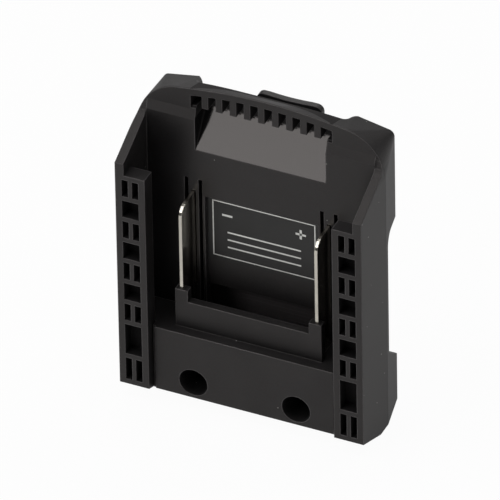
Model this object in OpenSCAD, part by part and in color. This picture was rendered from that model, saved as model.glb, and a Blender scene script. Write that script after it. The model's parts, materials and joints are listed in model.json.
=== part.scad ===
// Battery adapter: takes a slide-on tool battery on its front and plugs into a device behind it.
// Working frame inside the modules: x across, y back from the front edge, z up from the base.

/* [Overall] */
// Width across the two side cheeks
body_w = 76; // [72:0.5:84]
// Depth of the outer skirt, from the front edge back
skirt_d = 28.7; // [27.5:0.1:32]
// How far the device plug stands out behind the skirt
plug_out = 13.3; // [12.5:0.1:18]
// Height of the front bevel under the base
bevel_h = 4.6; // [3:0.1:6]
// Depth of the front bevel under the base
bevel_run = 12; // [8:0.5:13]
// Amount that each side leans in towards the rear
side_lean = 2.3; // [1:0.1:2.6]
// Thickness of the base
floor_t = 2.6; // [2:0.1:3]

/* [Rails] */
// Height of the rail lips above the base
lip_top = 77.9; // [72:0.1:86]
// Width of each rail lip with its cheek
lip_w = 9.16; // [8:0.02:10]
// Thickness of each rail lip, front to back
lip_t = 4.9; // [4:0.1:5.4]
// Wall thickness of the side cheeks
cheek_t = 2.7; // [2:0.1:3.2]
// Depth of the cored cells in the lip fronts
cell_d = 3.8; // [2:0.1:3.8]
// Height of a cell in the regular rows
cell_h = 5.75; // [4:0.05:6]
// Web between the rows of cells
cell_web = 1.5; // [1:0.1:2]
// Web between two narrow cells of a row
cell_mid = 1.25; // [0.8:0.05:1.6]
// Wall left beside the cells
cell_wall = 2; // [1.5:0.1:2.4]

/* [Deck and top wall] */
// Depth from the front edge to the deck that the battery slides over
deck_y = 15.7; // [14.8:0.1:16.5]
// Thickness of the deck
deck_t = 3.2; // [3:0.1:4]
// Height of the cheek kink above the lips
kink_rise = 3.9; // [2:0.1:6]
// Height that the cheek slope climbs from the kink to the deck
slope_rise = 8.4; // [6:0.1:10]
// Height of the deck ledge above the cheek slope
ledge_rise = 1.4; // [1:0.1:3]
// Step back from the deck to the top wall
bridge_step = 1; // [0.5:0.1:1.6]
// Height of the top wall above the deck ledge, at the middle
top_wall_h = 11; // [10.5:0.1:14]
// Drop of the crowned top edge from its middle to its corners
crown = 2.1; // [1:0.1:3]
// Radius of the upper corners of the rim
rim_r = 14; // [10:0.5:16]
// Radius of the sweep from the cheek slope up to the rim
sweep_r = 5; // [2:0.5:6]
// Thickness of the top wall
top_wall_t = 3.9; // [2.4:0.1:4.4]
// Drop of the roof from the rim to the rear of the shoulders
roof_drop = 5.6; // [4:0.1:7]
// Width of the thumb recess between the shoulders
thumb_w = 47; // [40:0.5:50]

/* [Latch pocket] */
// Width of the pocket in the deck
pocket_w = 40.4; // [38:0.1:42]
// Extra width on each side of the cored space in the top wall
pocket_step = 1.6; // [0.5:0.1:2]
// Height of the pocket's lower edge below the deck ledge
pocket_drop = 10.9; // [9.5:0.1:12]
// Height that the pocket ramp climbs from front to back
ramp_rise = 10.9; // [8:0.1:11]
// Depth that the pocket ramp runs back
ramp_run = 7.7; // [6:0.1:8]
// Number of ribs in the catch wall
rib_count = 9; // [5:1:9]
// Spacing of the ribs
rib_pitch = 4.34; // [4:0.02:4.5]
// Thickness of the ribs
rib_t = 2; // [1.2:0.1:2.2]
// Height of the rib ends above the deck ledge
rib_rise = 3.5; // [2.5:0.1:4]

/* [Terminals] */
// Distance between the two blade terminals
blade_gap = 42; // [38:0.5:44]
// Thickness of the blades
blade_t = 1; // [0.8:0.1:1.2]
// Depth from the front edge to the front of the blades
blade_y = 6.4; // [6:0.1:7]
// Height of the blades above the carrier
blade_h = 40.9; // [30:0.1:46]
// Height of the carrier's front panel top above the base
panel_top = 25.4; // [22:0.1:27]
// Set-back of the front panel behind the front edge
panel_y = 2.3; // [1.5:0.1:3]
// Height of the wall between the terminal ears
block_h = 9; // [6:0.1:10]
// Height of the terminal ears
ear_h = 12.8; // [11:0.1:15]
// Width of a terminal ear
ear_w = 3.9; // [3:0.1:5]
// Thickness of the wall and ears, front to back
block_t = 2.5; // [2:0.1:3]
// Width of the strip of deck that each blade passes through
strip_w = 3.2; // [3:0.1:3.4]

/* [Label] */
// Width of the blank label
label_w = 34.8; // [28:0.2:35]
// Height of the blank label
label_h = 22.2; // [16:0.2:22.4]
// Height of the lower edge of the label above the base
label_z = 42.9; // [40:0.1:44]
// Depth of the label recess
label_d = 1.9; // [1:0.1:2.2]
// Thickness of the label
label_t = 0.2; // [0.1:0.05:0.4]

/* [Device plug] */
// Width of the plug
plug_w = 56; // [54:0.5:58]
// Gap beside the plug for the walls of the device's bay
bay_gap = 4.8; // [3:0.1:5]
// Height of the plug's top above the base
plug_top = 83; // [82:0.1:84]
// Wall thickness of the plug
plug_wall = 2; // [1.6:0.1:2.6]
// Radius of the plug's upright rear edges
plug_r = 5; // [2:0.5:7]

/* [Release latch] */
// Width of the thumb bar
bar_w = 20.2; // [16:0.1:24]
// Thickness of the thumb bar
bar_t = 1.8; // [1.6:0.1:3]
// Height of the thumb bar above the plug's top
bar_rise = 7.5; // [6:0.1:8]
// Width of the hook
hook_w = 14; // [10:0.5:16]
// Height of the hook above the plug's top
hook_rise = 3.8; // [2:0.1:4]
// Travel of the latch when it is pressed
latch_travel = 4; // [2:0.1:4.4]
// Outer diameter of the latch springs
spring_d = 5; // [4:0.1:5.4]
// Length of the latch springs at rest
spring_len = 13; // [11:0.5:16]

/* [Circuit board] */
// Width of the circuit board
board_w = 48; // [42:0.5:50]
// Height of the circuit board
board_h = 50; // [46:0.5:50]
// Thickness of the circuit board
board_t = 1.6; // [1:0.1:2]
// Diameter of the leads
lead_d = 2.2; // [1.6:0.1:2.6]

/* [Fasteners] */
// Distance between the two front screws
screw_gap = 32; // [28:0.5:34]
// Height of the front screws above the base
screw_z = 9.1; // [8.9:0.1:10]
// Diameter of the deep access holes in the front panel
access_d = 8.8; // [7:0.1:8.8]
// Thread diameter of the housing screws
screw_d = 3; // [2.5:0.1:3.2]
// Head diameter of the housing screws
head_d = 5.6; // [5:0.1:6]
// Distance between the two rear screws
rear_gap = 40; // [39:0.5:42]

/* [Clearances] */
// Gap between fixed parts that slip together
slip = 0.2; // [0.1:0.05:0.4]
// Gap round the sliding latch
run = 0.3; // [0.2:0.05:0.4]

/* [Hidden] */
$fn = 48;

housing_black = "#2b2b2c";
carrier_black = "#262627";
nickel = "#c9c6be";
steel = "#8f9196";

// Small overlap that keeps cuts clear of coincident faces
eps = 1;
half_w = body_w / 2;
total_d = skirt_d + plug_out;
rear_half = half_w - side_lean;

// Heights and depths of the front
kink_z = lip_top + kink_rise;
bridge_y = deck_y + bridge_step;
slope_z = kink_z + slope_rise;
ledge_z = slope_z + ledge_rise;
rim_top = ledge_z + top_wall_h;
corner_top = rim_top - crown;
rim_side = corner_top - rim_r;
crown_half = half_w - rim_r;
crown_r = (crown_half * crown_half + crown * crown) / (2 * crown);
deck_back = deck_y + deck_t;
strip_back = bridge_y + top_wall_t;
inner_half = half_w - cheek_t;
lip_in = half_w - lip_w;

// Roof and shoulders
slab = 0.5;
shoulder_z = corner_top - roof_drop;
shoulder_r = 2;
rear_crown = 2;
rear_lift = 0.6;

// Thumb recess behind the top wall
thumb_lip = 0.6;
thumb_drop = 11;
thumb_z0 = rim_top - thumb_lip;
thumb_z1 = rim_top - thumb_drop;
thumb_fall = (thumb_z0 - thumb_z1) / (skirt_d - strip_back);
roof_t = 2.6;
thumb_fillet = 1.5;
thumb_round = 1.8;

// Latch pocket
pocket_z = ledge_z - pocket_drop;
pocket_wall = 2;
ramp_y = deck_y + ramp_run;
ramp_z = pocket_z + ramp_rise;
ramp_wall = 2.8;
rib_z = ledge_z + rib_rise;
ledge_band = 2.4;
slot_cap = 2.2;
slot_top = rim_top - slot_cap;
comb_w = pocket_w + 2 * pocket_step;

// Side notches of the skirt
notch_d = 9.6;
notch_y = skirt_d - notch_d;
notch_z0 = 24;
notch_z1 = 65;
notch_fall = 8;
notch_r = 4;

// Lip cells, in rows counted from the top
cell_w = lip_w - 2 * cell_wall;
cell_narrow = (cell_w - cell_mid) / 2;
tall_h = 10.4;
last_h = 7.5;
regular_rows = 7;
cell_x = lip_in + cell_wall;

// Terminal carrier
panel_gap = 1.1;
panel_half = lip_in - panel_gap;
panel_step = 0.7;
wing_half = inner_half - slip;
block_side = 1.7;
block_half = blade_gap / 2 + block_side;
block_front = 0.7;
block_y = blade_y - block_front;
head_h = 2.2;
seat_t = 3.5;
seat_y = deck_y - seat_t;
hole_slack = 0.4;
hole_d = screw_d + hole_slack;
slit_w = 1.1;
slot_over = 4.3;
slot_z = panel_top + blade_h + slot_over;
foot = 3.4;
blade_top = panel_top + blade_h;
lead_in = 3.6;
tail_out = 1.6;
blade_back = deck_back + tail_out;
window_h = 8.4;
recess_z0 = panel_top + window_h;
recess_z1 = label_z + label_h + slip;
recess_half = label_w / 2 + slip;
window_z0 = panel_top + 2 * slip;

// Device plug
plug_half = plug_w / 2;
cav_half = plug_half + bay_gap;
cav_top = pocket_z - pocket_wall;
plug_floor = floor_t + slip;
tub_top = cav_top - slip;
step_y = skirt_d + slip;
plug_chamfer = 1.5;
wall_y = total_d - plug_wall;
toe_w = 9;
toe_d = 4;
toe_inset = 10;
toe_x = plug_half - toe_inset;

// Fasteners
bore_slack = 0.1;
bore_d = screw_d + bore_slack;
boss_d = 7;
sleeve_d = 9.5;
rear_access_d = 7;
rear_screw_drop = 5.4;
rear_screw_z = cav_top - rear_screw_drop;
rear_seat = 5.6;
rear_seat_y = deck_back + rear_seat;
rear_boss = 3.1;
front_bite = 11;
front_reach = deck_back + front_bite;

// Release latch
bar_inset = 4.4;
bar_back = total_d - bar_inset;
bar_y = bar_back - bar_t;
bar_top = plug_top + bar_rise;
bar_r = 2;
scallop = 0.3;
scallop_half = bar_w * 0.32;
scallop_r = (scallop_half * scallop_half + scallop * scallop) / (2 * scallop);
hook_gap = 1.6;
hook_y = bar_back + hook_gap;
hook_back = total_d - run;
hook_z = plug_top + hook_rise;
hook_drop = 2.5;
hook_low = plug_top - hook_drop;
valley_rise = 0.4;
valley_z = plug_top + valley_rise;
stem_back = wall_y - run;
flange = 2.5;
flange_h = 3;
stop_gap = 0.15;
flange_top = plug_top - plug_wall - stop_gap;
flange_back = stem_back - plug_chamfer;
latch_reach = 20;
latch_low = plug_top - latch_reach;
foot_h = 3;
foot_land = 1.6;
foot_y = stem_back - spring_d - foot_land;
spring_inset = 1.2;
spring_x = bar_w / 2 - spring_d / 2 - spring_inset;
spring_y = (foot_y + stem_back) / 2;
spring_z = latch_low - spring_len;
spring_wire = 0.8;
shelf_t = 2.5;
guide_half = bar_w / 2 + flange + run;
guide_t = 2;
tongue_t = 1.6;

// Circuit board
board_gap = 6;
board_y = deck_back + board_gap;
board_back = board_y + board_t;
board_rise = 10.4;
board_z = plug_floor + plug_wall + board_rise;
board_top = board_z + board_h;
post_d = 5;
post_side = 3.5;
post_x = board_w / 2 - post_side;
post_inset = 4;
post_low = board_z + post_inset;
post_high = min(board_top - post_inset, rear_screw_z - (sleeve_d + post_d) / 2);
board_screw_d = 2;
board_head_d = 3.6;
board_head_h = 1.6;
board_bite = 6;
bend_swell = 0.2;
transistor = [9, 9.4, 3.8];
transistor_tab = [9, 2.6, 1.3];
transistor_x = post_x - 6.5;
transistor_z = board_z + board_h * 0.66;
can_d = 8;
can_l = 7.6;
can_base = 0.8;
can_skin = 0.4;
can_x = -(post_x - 1.5);
chip = [5, 4, 1.5];
fuse_body = [10, 3.2, 3];
fuse_cap = 2;
fuse_x = post_x - 6;
shunt = [6.4, 3.2, 1];
lead_in_step = 6;
lead_out_step = 2;

// Device contact block
contact_gap = 20;
insert_side = 6.4;
insert_half = contact_gap / 2 + insert_side;
insert_d = 8.5;
insert_y = total_d - insert_d;
insert_rise = 17.4;
insert_z = plug_floor + insert_rise;
insert_h = 14;
insert_flange = 1.6;
insert_flange_t = 2;
contact_cell = 4.4;
contact_slot = 2;
contact_face = 1;
contact_wall = 1.5;
leaf_t = 0.6;
leaf_gap = 1.4;
tail_w = 3;
tail_l = 2;
contact_mid = insert_z + insert_h / 2;

// Carries a shape drawn once onto both sides
module both_sides() {
    children();
    mirror([1, 0, 0]) children();
}

// Extrudes an outline drawn as [depth, height] across the width
module across(w) {
    rotate([90, 0, 90]) linear_extrude(w, center = true) children();
}

// Extrudes an outline drawn as [across, height] back from depth y0
module back_from(y0, d) {
    translate([0, y0 + d, 0]) rotate([90, 0, 0]) linear_extrude(d) children();
}

// Round bar that runs back from a point at depth y0
module pin(x, y0, z, d, l) {
    translate([x, y0, z]) rotate([-90, 0, 0]) cylinder(d = d, h = l);
}

// Box given by its corners
module block(x0, x1, y0, y1, z0, z1) {
    translate([x0, y0, z0]) cube([x1 - x0, y1 - y0, z1 - z0]);
}

// Box centred across the width
module slab_across(half, y0, y1, z0, z1) {
    block(-half, half, y0, y1, z0, z1);
}

// Height of the bevel under the base at a depth
function bevel_z(y) = bevel_h * (1 - y / bevel_run);

// Height of the pocket's roof under the thumb recess at a depth
function ceiling_z(y) = thumb_z0 - thumb_fall * (y - strip_back) - roof_t;

// Depth at which the pocket's roof comes down to a height
function ceiling_y(z) = strip_back + (thumb_z0 - roof_t - z) / thumb_fall;

// Depth of the cored space behind the ribs
comb_back = min(ramp_y, ceiling_y(rib_z + slab));

// Front outline of the rim: upright sides, round corners and a crowned top
module rim_outline() {
    translate([-half_w, 0]) square([body_w, rim_side]);
    for (side = [-1, 1])
        translate([side * (half_w - rim_r), rim_side]) circle(rim_r, $fn = 72);
    intersection() {
        translate([0, rim_top - crown_r]) circle(crown_r, $fn = 180);
        translate([-crown_half, rim_side]) square([2 * crown_half, rim_top]);
    }
}

// Rear outline of the skirt: narrower, lower and with small corners
module rear_outline() {
    translate([-rear_half, rear_lift]) square([2 * rear_half, shoulder_z - shoulder_r - rear_lift]);
    for (side = [-1, 1])
        translate([side * (rear_half - shoulder_r), shoulder_z - shoulder_r]) circle(shoulder_r, $fn = 32);
    translate([-thumb_w / 2, shoulder_z / 2]) square([thumb_w, shoulder_z / 2 + rear_crown]);
}

// Solid skirt, lofted from the rim back to the rear outline
module skirt_solid() {
    hull() {
        back_from(bridge_y, slab) rim_outline();
        back_from(skirt_d - slab, slab) rear_outline();
    }
}

// Side view of the cheeks, with the front bevel and the sloping upper edge that sweeps up to the rim
module cheek_outline() {
    slope = atan2(slope_rise, bridge_y);
    reach = sweep_r * tan((90 - slope) / 2);
    polygon([[0, bevel_h], [bevel_run, 0], [bridge_y, 0], [bridge_y, slope_z], [0, kink_z]]);
    difference() {
        polygon([
            [bridge_y - reach * cos(slope), slope_z - reach * sin(slope)], [bridge_y, slope_z],
            [bridge_y, slope_z + reach]
        ]);
        translate([bridge_y - sweep_r, slope_z + reach]) circle(sweep_r);
    }
}

// Cheeks with the rail lips on their front edges
module cheeks() {
    intersection() {
        both_sides() {
            block(inner_half, half_w, 0, bridge_y, 0, rim_top);
            block(lip_in, half_w, 0, lip_t, 0, lip_top);
        }
        across(body_w + eps) cheek_outline();
        back_from(-eps, skirt_d) rim_outline();
    }
}

// Deck between the cheeks, with a leaning band at its upper edge
module deck() {
    intersection() {
        across(2 * inner_half) polygon([
            [deck_y, 0], [deck_back, 0], [deck_back, ledge_z + ledge_band], [bridge_y, ledge_z + ledge_band],
            [deck_y, ledge_z - slab]
        ]);
        back_from(-eps, skirt_d) rim_outline();
    }
}

// One row of cells: a wide one, or two narrow ones beside each other
module cell_row(top, h, split) {
    z0 = lip_top - top - h;
    if (split) {
        block(cell_x, cell_x + cell_narrow, -eps, cell_d, z0, z0 + h);
        block(cell_x + cell_w - cell_narrow, cell_x + cell_w, -eps, cell_d, z0, z0 + h);
    } else {
        block(cell_x, cell_x + cell_w, -eps, cell_d, z0, z0 + h);
    }
}

// All the cored cells of one lip
module lip_cells() {
    pitch = cell_h + cell_web;
    tall_top = cell_web + regular_rows * pitch;
    for (row = [0 : regular_rows - 1])
        cell_row(cell_web + row * pitch, cell_h, row % 2 == 0);
    cell_row(tall_top, tall_h, false);
    cell_row(tall_top + tall_h + cell_web, last_h, true);
}

// Hollow of the latch pocket below the ribs
module pocket_void() {
    across(pocket_w) polygon([
        [deck_y - eps, pocket_z], [deck_y, pocket_z], [ramp_y, ramp_z], [comb_back, rib_z],
        [deck_y - eps, rib_z]
    ]);
}

// Cored space behind the ramp, under the thumb recess
module ramp_core() {
    top = thumb_z1 - roof_t;
    across(pocket_w) polygon([
        [deck_back, cav_top - eps], [skirt_d + eps, cav_top - eps], [skirt_d + eps, top],
        [deck_y + ramp_wall + (top - pocket_z) * ramp_run / ramp_rise, top]
    ]);
}

// Side view of the cored space above the rib ends
module comb_outline() {
    polygon([
        [bridge_y, rib_z], [comb_back, rib_z], [comb_back, ceiling_z(comb_back)],
        [ceiling_y(slot_top), slot_top], [bridge_y, slot_top]
    ]);
}

// Cored space of the catch wall, under the crowned top wall
module comb_void() {
    intersection() {
        union() {
            across(comb_w) comb_outline();
            slab_across(comb_w / 2, bridge_y - eps, bridge_y + slab, rib_z - slab, slot_top);
        }
        pin(0, 0, rim_top - crown_r, 2 * (crown_r - slot_cap), skirt_d);
    }
}

// Ribs that stand in the cored space
module comb_ribs() {
    intersection() {
        for (i = [0 : rib_count - 1])
            translate([(i - (rib_count - 1) / 2) * rib_pitch, 0, 0])
                across(rib_t) comb_outline();
        pin(0, 0, rim_top - crown_r, 2 * (crown_r - slot_cap), skirt_d);
    }
}

// Section of the thumb recess: round lower corners, and sides that roll outwards onto the shoulders
module thumb_outline() {
    half = thumb_w / 2;
    translate([-half, thumb_fillet]) square([thumb_w, thumb_drop]);
    translate([thumb_fillet - half, 0]) square([thumb_w - 2 * thumb_fillet, thumb_drop]);
    for (side = [-1, 1]) {
        translate([side * (half - thumb_fillet), thumb_fillet]) circle(thumb_fillet);
        difference() {
            translate([side * half - thumb_round, thumb_fillet]) square([2 * thumb_round, thumb_drop]);
            translate([side * (half + thumb_round), thumb_fillet]) circle(thumb_round);
        }
    }
}

// Thumb recess in the roof, in front of the release latch
module thumb_void() {
    intersection() {
        translate([0, strip_back, thumb_z0]) rotate([-atan(thumb_fall), 0, 0])
            back_from(-thumb_drop, 3 * thumb_drop) thumb_outline();
        slab_across(half_w, strip_back, skirt_d + eps, 0, rim_top + eps);
    }
}

// Grip notch in one side of the skirt, with a round upper end and a falling lower end
module notch_void() {
    x0 = cav_half - slip;
    translate([(x0 + half_w + eps) / 2, 0, 0]) {
        across(half_w + eps - x0) polygon([
            [notch_y, notch_z0], [notch_y, notch_z1 - notch_r], [notch_y + notch_r, notch_z1 - notch_r],
            [notch_y + notch_r, notch_z1], [skirt_d + eps, notch_z1],
            [skirt_d + eps, notch_z0 - notch_fall]
        ]);
        rotate([0, 90, 0]) translate([notch_r - notch_z1, notch_y + notch_r, 0])
            cylinder(r = notch_r, h = half_w + eps - x0, center = true);
    }
}

// Slot in the deck for the blade's tail, between two open slits for the battery's contact jaws
module blade_slot_void() {
    x = blade_gap / 2;
    tail = blade_t / 2 + slip;
    block(x - tail, x + tail, deck_y - eps, deck_back + eps, recess_z0 - slip, blade_top + slip);
    for (side = [-1, 1])
        translate([x + side * (strip_w + slit_w) / 2, 0, 0])
            slab_across(slit_w / 2, deck_y - eps, deck_back + eps, window_z0, slot_z);
}

// Front housing: cheeks, rails, deck, latch pocket and tapered skirt in one moulding
module front_housing() {
    color(housing_black) {
        difference() {
            union() {
                skirt_solid();
                cheeks();
                deck();
                slab_across(half_w, bevel_run, bridge_y + slab, 0, floor_t);
            }
            slab_across(cav_half, deck_back, skirt_d + eps, floor_t, cav_top);
            both_sides() lip_cells();
            pocket_void();
            ramp_core();
            comb_void();
            thumb_void();
            both_sides() notch_void();
            both_sides() blade_slot_void();
            slab_across(recess_half, deck_y - eps, deck_y + label_d, recess_z0, recess_z1);
            slab_across(recess_half, deck_y - eps, deck_back + eps, window_z0, recess_z0);
            for (side = [-1, 1])
                pin(side * screw_gap / 2, deck_y - eps, screw_z, hole_d, deck_t + 2 * eps);
        }
        comb_ribs();
        rear_bosses();
    }
}

// Bosses on the back of the deck that take the rear screws
module rear_bosses() {
    for (side = [-1, 1])
        difference() {
            pin(side * rear_gap / 2, deck_back, rear_screw_z, boss_d, rear_boss);
            pin(side * rear_gap / 2, deck_back - eps, rear_screw_z, bore_d, rear_boss + 2 * eps);
        }
}

// Slab of the carrier from a front plane back to the deck, over the base's bevel and floor
module carrier_slab(half, front_y) {
    foot_y0 = bevel_run - slip;
    across(2 * half) polygon([
        [front_y, bevel_z(front_y)], [foot_y0, bevel_z(foot_y0)], [foot_y0, floor_t + slip],
        [deck_y, floor_t + slip], [deck_y, panel_top], [front_y, panel_top]
    ]);
}

// Terminal carrier: front panel with screw holes, flanges to the lips, rail ends and the wall that holds the blades
module terminal_carrier() {
    color(carrier_black) difference() {
        union() {
            carrier_slab(panel_half, panel_y);
            carrier_slab(lip_in - slip, panel_y + panel_step);
            carrier_slab(wing_half, lip_t + slip);
            slab_across(block_half, block_y, block_y + block_t, panel_top - eps, panel_top + block_h);
            both_sides()
                block(block_half - ear_w, block_half, block_y, block_y + block_t,
                      panel_top - eps, panel_top + ear_h);
        }
        both_sides()
            block(blade_gap / 2 - blade_t / 2, blade_gap / 2 + blade_t / 2, blade_y, deck_y + eps,
                  panel_top - foot, panel_top + ear_h + eps);
        for (side = [-1, 1]) {
            pin(side * screw_gap / 2, panel_y - eps, screw_z, access_d, seat_y - panel_y + eps);
            pin(side * screw_gap / 2, seat_y - eps, screw_z, hole_d, deck_y - seat_y + 2 * eps);
        }
    }
}

// One blade terminal, with a rounded lead-in corner and a tail behind the deck
module blade(x) {
    translate([x, 0, 0]) across(blade_t) polygon([
        [blade_y, panel_top - foot],
        for (turn = [0 : 15 : 90])
            [blade_y + lead_in * (1 - cos(turn)), blade_top - lead_in * (1 - sin(turn))],
        [blade_back, blade_top], [blade_back, recess_z0], [deck_y, recess_z0], [deck_y, panel_top - foot]
    ]);
}

module positive_blade() {
    color(nickel) blade(blade_gap / 2);
}

module negative_blade() {
    color(nickel) blade(-blade_gap / 2);
}

// Blank label in the deck recess
module blank_label() {
    floor_y = deck_y + label_d;
    color("#1b1b1d")
        slab_across(label_w / 2, floor_y - label_t, floor_y, label_z, label_z + label_h);
}

// Plan outline of the plug with its round rear edges
module plug_plan(half, y0, y1, r) {
    translate([-half, y0]) square([2 * half, y1 - y0 - r]);
    translate([-half + r, y0]) square([2 * (half - r), y1 - y0]);
    for (side = [-1, 1])
        translate([side * (half - r), y1 - r]) circle(r);
}

// Side view of the plug, set in by a wall thickness
module plug_side(wall) {
    chamfer = plug_chamfer - wall * 0.4;
    polygon([
        [deck_back - wall, plug_floor + wall], [total_d - wall, plug_floor + wall],
        [total_d - wall, plug_top - wall - chamfer], [total_d - wall - chamfer, plug_top - wall],
        [step_y + wall, plug_top - wall], [step_y + wall, tub_top - wall],
        [deck_back - wall, tub_top - wall]
    ]);
}

// Solid body of the plug, set in by a wall thickness
module plug_solid(wall) {
    intersection() {
        across(plug_w - 2 * wall) plug_side(wall);
        linear_extrude(plug_top)
            plug_plan(plug_half - wall, deck_back - wall, total_d - wall, plug_r - wall);
    }
}

// Shelf and guide ribs that carry the latch springs and the sliding latch
module latch_guides() {
    top = plug_top - plug_wall;
    y0 = foot_y - run - tongue_t;
    slab_across(guide_half + guide_t, y0, wall_y, spring_z - shelf_t, spring_z);
    both_sides() {
        block(guide_half, guide_half + guide_t, y0, wall_y, spring_z - shelf_t, top);
        block(bar_w / 2 - guide_t, guide_half + guide_t, y0, y0 + tongue_t,
              spring_z - shelf_t, latch_low + foot_h);
        translate([spring_x, spring_y, spring_z])
            cylinder(d = spring_d - 2 * spring_wire - run, h = spring_len / 3);
    }
}

// Openings for the thumb bar and the hook in the top and rear wall of the plug
module latch_opening() {
    bar_half = bar_w / 2 + run;
    hook_half = hook_w / 2 + run;
    slab_across(bar_half, bar_y - run, wall_y, plug_top - plug_wall - eps, plug_top + eps);
    slab_across(hook_half, wall_y - eps, total_d + eps, hook_low - latch_travel - run, plug_top + eps);
}

// Rear housing: the hollow plug that goes into the device
module rear_housing() {
    color(housing_black) difference() {
        union() {
            difference() {
                plug_solid(0);
                plug_solid(plug_wall);
            }
            latch_guides();
            for (side = [-1, 1]) {
                pin(side * screw_gap / 2, deck_back, screw_z, boss_d, wall_y - deck_back);
                pin(side * rear_gap / 2, deck_back + rear_boss, rear_screw_z, sleeve_d,
                    wall_y - deck_back - rear_boss);
                for (z = [post_low, post_high])
                    pin(side * post_x, board_back, z, post_d, wall_y - board_back);
                block(side * toe_x - toe_w / 2, side * toe_x + toe_w / 2, wall_y - toe_d, wall_y,
                      0, plug_floor + eps);
            }
        }
        latch_opening();
        slab_across(insert_half + slip, wall_y - eps, total_d + eps,
                    insert_z - slip, insert_z + insert_h + slip);
        for (side = [-1, 1]) {
            pin(side * screw_gap / 2, deck_back - eps, screw_z, bore_d, front_reach - deck_back + 2 * eps);
            pin(side * rear_gap / 2, rear_seat_y, rear_screw_z, rear_access_d, total_d - rear_seat_y + eps);
            pin(side * rear_gap / 2, deck_back, rear_screw_z, hole_d, rear_seat_y - deck_back + eps);
            for (z = [post_low, post_high])
                pin(side * post_x, board_back - eps, z, board_screw_d + bore_slack, board_bite + 2 * eps);
        }
    }
}

// Front view of the thumb bar: round upper corners
module bar_outline() {
    half = bar_w / 2;
    translate([-half, latch_low]) square([bar_w, bar_top - bar_r - latch_low]);
    translate([-half + bar_r, latch_low]) square([bar_w - 2 * bar_r, bar_top - latch_low]);
    for (side = [-1, 1])
        translate([side * (half - bar_r), bar_top - bar_r]) circle(bar_r);
}

// Release latch: thumb bar, hook, stop flange and spring foot in one sliding moulding
module release_latch() {
    color("#303031") difference() {
        union() {
            back_from(bar_y, bar_t) bar_outline();
            slab_across(bar_w / 2, bar_y, stem_back, latch_low, valley_z);
            slab_across(bar_w / 2, foot_y, stem_back, latch_low, latch_low + foot_h);
            slab_across(bar_w / 2 + flange, bar_y, flange_back, flange_top - flange_h, flange_top);
            across(hook_w) polygon([
                [bar_back, hook_low], [hook_back, hook_low], [hook_back, valley_z],
                [hook_y + (hook_back - hook_y) / 3, hook_z], [hook_y, hook_z], [hook_y, valley_z],
                [bar_back, valley_z]
            ]);
        }
        pin(0, bar_y - eps, bar_top - scallop + scallop_r, 2 * scallop_r, bar_t + 2 * eps);
    }
}

// Latch spring, wound round its post
module latch_spring(x) {
    color(steel) translate([x, spring_y, spring_z]) difference() {
        cylinder(d = spring_d, h = spring_len);
        translate([0, 0, -eps]) cylinder(d = spring_d - 2 * spring_wire, h = spring_len + 2 * eps);
    }
}

module left_spring() {
    latch_spring(-spring_x);
}

module right_spring() {
    latch_spring(spring_x);
}

// Pan-head screw with a cross recess, its head seated at depth y0 and its shank running on
module screw(x, y0, z, d, hd, hh, l) {
    recess_w = hd * 0.16;
    recess_l = hd * 0.6;
    difference() {
        union() {
            pin(x, y0 - hh, z, hd, hh);
            pin(x, y0 - hh / 2, z, d, l + hh / 2);
        }
        for (turn = [0, 90])
            translate([x, y0 - hh, z]) rotate([0, turn, 0])
                cube([recess_l, hh, recess_w], center = true);
    }
}

module front_screws() {
    color(steel) for (side = [-1, 1])
        screw(side * screw_gap / 2, seat_y, screw_z, screw_d, head_d, head_h, front_reach - seat_y);
}

// Rear screws, driven from the back into the bosses behind the deck
module rear_screws() {
    color(steel) for (side = [-1, 1])
        translate([side * rear_gap / 2, rear_seat_y, rear_screw_z]) mirror([0, 1, 0])
            screw(0, 0, 0, screw_d, head_d, head_h, rear_seat_y - deck_back);
}

// Circuit board with its four fixing holes, kept clear of the rear screw sleeves
module circuit_board() {
    color("#171918") difference() {
        slab_across(board_w / 2, board_y, board_back, board_z, board_top);
        for (side = [-1, 1])
            pin(side * rear_gap / 2, board_y - eps, rear_screw_z, sleeve_d + 2 * slip, board_t + 2 * eps);
        for (side = [-1, 1], z = [post_low, post_high])
            pin(side * post_x, board_y - eps, z, board_screw_d + hole_slack, board_t + 2 * eps);
    }
}

module board_screws() {
    color(steel) for (side = [-1, 1], z = [post_low, post_high])
        screw(side * post_x, board_y, z, board_screw_d, board_head_d, board_head_h, board_t + board_bite);
}

// Small board part that stands on the back of the board
module board_part(x, z, size) {
    translate([x - size[0] / 2, board_back, z - size[1] / 2]) cube([size[0], size[2], size[1]]);
}

module power_transistors() {
    tab_z = transistor_z + (transistor[1] + transistor_tab[1]) / 2;
    color("#222224") for (side = [-1, 1]) {
        board_part(side * transistor_x, transistor_z, transistor);
        board_part(side * transistor_x, tab_z, transistor_tab);
    }
}

module smoothing_capacitor() {
    z = board_z + board_h * 0.42;
    color("#3a3d45") {
        board_part(can_x, z, [can_d, can_d, can_base]);
        pin(can_x, board_back + can_base, z, can_d - can_skin, can_l - can_base);
    }
}

module control_chip() {
    color("#1d1d1f") board_part(0, board_z + board_h * 0.5, chip);
}

module fuse() {
    z = board_z + board_h * 0.42;
    color("#d8d2c0") board_part(fuse_x, z, [fuse_body[0] - 2 * fuse_cap, fuse_body[1], fuse_body[2]]);
    color(nickel) for (side = [-1, 1])
        board_part(fuse_x + side * (fuse_body[0] - fuse_cap) / 2, z, [fuse_cap, fuse_body[1], fuse_body[2]]);
}

module shunt_resistor() {
    color("#3b3a38") board_part(0, board_z + board_h * 0.36, shunt);
}

// Round lead through a list of points, a little fuller at its bends
module lead(points) {
    for (i = [0 : len(points) - 2]) {
        v = points[i + 1] - points[i];
        l = norm(v);
        translate(points[i])
            rotate([0, acos(v[2] / l), atan2(v[1], v[0])]) cylinder(d = lead_d, h = l);
    }
    for (i = [1 : len(points) - 2])
        translate(points[i]) sphere(d = lead_d + bend_swell);
}

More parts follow.
